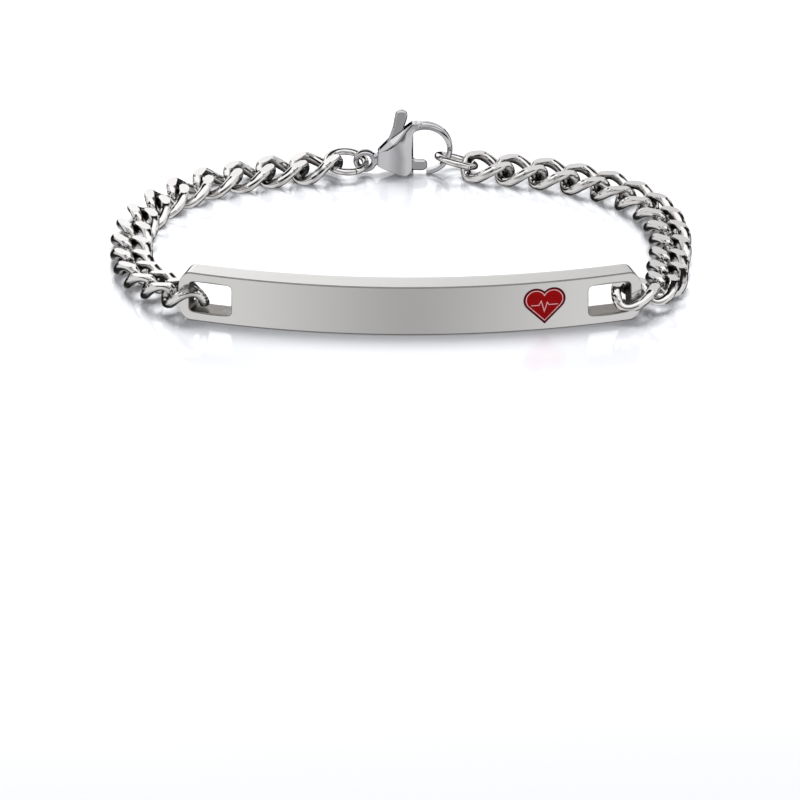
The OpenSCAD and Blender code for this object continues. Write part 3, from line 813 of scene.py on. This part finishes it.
def bodyHalf(x, z):
    # Half thickness of the finished body: a belly that falls with the square of the distance from a ridge
    # and passes into the hook; bevels along the outer edge, the hook's inner edge, the foot and the mouth;
    # a narrow facet between the face and the outer bevel; and the eye, a ring of round section
    f = bodyForm
    away, straight = np.abs(x - f["ridge"]), f["fallStraight"]
    fall = np.where(away < straight, away ** 2, 2 * straight * away - straight ** 2)
    half = f["half"] - np.where(x < f["ridge"], f["fallLeft"], f["fallRight"]) * fall
    half += (f["hookHalf"] - half) * between(z + f["hookLean"] * x, *f["hookPass"])
    half = np.where(x > f["hookFrom"], f["hookHalf"], half)
    inner = f["gapEdge"] - f["gapBevel"] * np.minimum(insideRound(x, z, f["gap"]), 0)
    half += (np.minimum(half, inner) - half) * between(x, *f["gapPass"])

    cheek = np.minimum(insideEdge(x, z, f["neck"], f["shoulder"]),
                       insideEdge(x, z, f["shoulder"], f["crown"]))
    cheek = np.minimum(cheek, f["crown"][0] + f["crown"][2] - x)
    inside = np.maximum(cheek, insideRound(x, z, f["hook"]))
    onHook = between(x, *f["edgePass"])
    edge = f["cheekEdge"] + (f["hookEdge"] - f["cheekEdge"]) * onHook
    outer = edge + f["bevel"] * np.maximum(inside, 0)
    lean, cut = (onCheek + (atTip - onCheek) * onHook for onCheek, atTip in (f["lean"], f["leanCut"]))
    half = np.minimum(np.minimum(half, outer), (1 - lean) * half + lean * outer - cut)

    footX, footZ = f["footFrom"]
    low = np.where((x > footX) & (z < footZ), insideRound(x, z, f["foot"]),
                   insideEdge(x, z, f["neck"], f["foot"], -1))
    foot = f["footEdge"] + f["footBevel"] * np.maximum(low, 0)
    half = np.where(x < f["mouth"], np.minimum(half, foot), half)
    mouth = f["mouthEdge"] + f["mouthBevel"] * np.maximum(f["mouth"] - x, 0)
    byMouth = (x < f["mouth"] + f["mouthReach"]) & (z < f["mouthTop"])
    half = np.where(byMouth, np.minimum(half, mouth), half)

    middle, wide = (f["eye"][2] + f["eyeHole"]) / 2, (f["eye"][2] - f["eyeHole"]) / 2
    acrossEye = np.abs(np.hypot(x - f["eye"][0], z - f["eye"][1]) - middle) / wide
    acrossNeck = np.hypot(x - f["neck"][0], z - f["neck"][1]) / f["eyeReach"]
    eye = f["eyeHalf"] * np.sqrt(np.maximum(1 - np.minimum(acrossEye, acrossNeck) ** 2, f["eyeLeast"]))
    return eye + (half - eye) * between(x, *f["eyePass"])


def drawnIn(corners):
    # everything outside the lever's slot is drawn in from the casting's thickness to the finished one
    f = bodyForm
    x, y, z = corners[:, 0], corners[:, 1] - pinMiddle[1], corners[:, 2]
    cast = np.where(x < f["castEye"], f["eyeHalf"], np.interp(x, f["castX"], f["castHalf"]))
    slot = f["slot"] * between(x, *f["slotStartPass"]) * (1 - between(x, *f["slotEndPass"]))
    outside = np.maximum(np.abs(y) - slot, 0)
    share = np.clip((bodyHalf(x, z) - slot) / (cast - slot), *f["drawnShare"])
    return np.stack([x, pinMiddle[1] + np.sign(y) * (np.minimum(np.abs(y), slot) + outside * share), z], 1)


# The lever's rolled edge. The corners in the middle of its thickness are its side walls, and every third
# of them is enough.
leverEdge = {"width": 0.2, "wallShare": 0.3, "wallEvery": 3}


def rolled(corners):
    # the lever's sheet gets thinner towards its outline, over the width of its rolled edge; how far in a
    # corner lies is its distance to the nearest corner on the side walls
    width, y = leverEdge["width"], corners[:, 1]
    middle, half = (y.max() + y.min()) / 2, (y.max() - y.min()) / 2
    walls = corners[np.abs(y - middle) < leverEdge["wallShare"] * half][::leverEdge["wallEvery"]]
    inside = np.hypot(corners[:, :1] - walls[:, 0], corners[:, 2:] - walls[:, 2]).min(1)
    most = half - width + np.minimum(inside, width)
    y = middle + np.sign(y - middle) * np.minimum(np.abs(y - middle), most)
    return np.stack([corners[:, 0], y, corners[:, 2]], 1)


def addRod(shell, place, radius, length, sides):
    # a closed cylinder along Y
    rod = bmesh.ops.create_cone(shell, cap_ends=True, segments=sides, radius1=radius, radius2=radius,
                                depth=length)
    bmesh.ops.rotate(shell, cent=(0, 0, 0), matrix=Matrix.Rotation(math.pi / 2, 3, "X"), verts=rod["verts"])
    bmesh.ops.translate(shell, vec=place, verts=rod["verts"])


def tumbled(node, metal, shape, filler=None):
    # a copy of the CAD solid in mm, with its doubles merged and its pin hole filled if a filler is given,
    # remade, tumbled and given its final shape
    mesh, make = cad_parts[node].data.copy(), claspPieces[node]
    shell = bmesh.new()
    shell.from_mesh(mesh)
    bmesh.ops.scale(shell, vec=(1000, 1000, 1000), verts=shell.verts)
    bmesh.ops.remove_doubles(shell, verts=shell.verts, dist=0.001)
    if filler:
        addRod(shell, **filler)
    shell.to_mesh(mesh)
    shell.free()
    piece = addObject(make["name"], mesh)
    remake = piece.modifiers.new("remake", "REMESH")
    remake.mode, remake.voxel_size, remake.use_smooth_shade = "VOXEL", make["grain"], True
    relax = piece.modifiers.new("tumble", "SMOOTH")
    relax.factor, relax.iterations = make["tumbled"], make["passes"]
    finished = keepModified(piece)
    corners = shape(readValues(finished.vertices, "co", width=3))
    finished.vertices.foreach_set("co", corners.ravel() / 1000)
    finished.materials.clear()
    finished.materials.append(metal)
    shadeSmooth(piece, sharpAngle=60)
    return piece


# The pin: a rod whose ends are pressed to low domes. The filler closes its hole in the body.
pin = {"radius": 0.35, "dome": 0.012, "domeSteps": 7, "sides": 32, "fillerRadius": 0.36}
pinLow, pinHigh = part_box("clasp_pin")
pinMiddle, pinLength = np.array((pinLow + pinHigh) / 2) * 1000, (pinHigh.y - pinLow.y) * 1000


def pinSurface():
    # a profile of distance from the axis and place along it, turned round the axis: each end is a dome
    # that falls with the square of that distance
    share = np.linspace(0, 1, pin["domeSteps"] + 1)[1:]
    out, along = share * pin["radius"], pinLength / 2 + pin["dome"] * (1 - share ** 2)
    out, along = np.append(out, out[::-1])[:, None], np.append(-along, along[::-1])[:, None]
    a = np.linspace(0, 2 * np.pi, pin["sides"], endpoint=False)
    return np.stack([pinMiddle[0] + out * np.cos(a), pinMiddle[1] + along + 0 * a,
                     pinMiddle[2] + out * np.sin(a)], -1)


filler = {"place": tuple(pinMiddle), "radius": pin["fillerRadius"], "length": pinLength,
          "sides": pin["sides"]}
body = tumbled("clasp_body", claspSteel, drawnIn, filler)
standsFor(body, "root", "clasp_steel", "clasp_body")
lever = tumbled("clasp_lever", shadedStampedSteel, rolled)
standsFor(lever, "lever", "clasp_steel", "clasp_lever")
pinGrid = pinSurface()
rod = makePiece("pressed_clasp_pin", pinGrid, cappedFaces(*pinGrid.shape[:2]), [claspSteel])
standsFor(rod, "root", "clasp_steel", "clasp_pin")
print("stage 8: clasp")
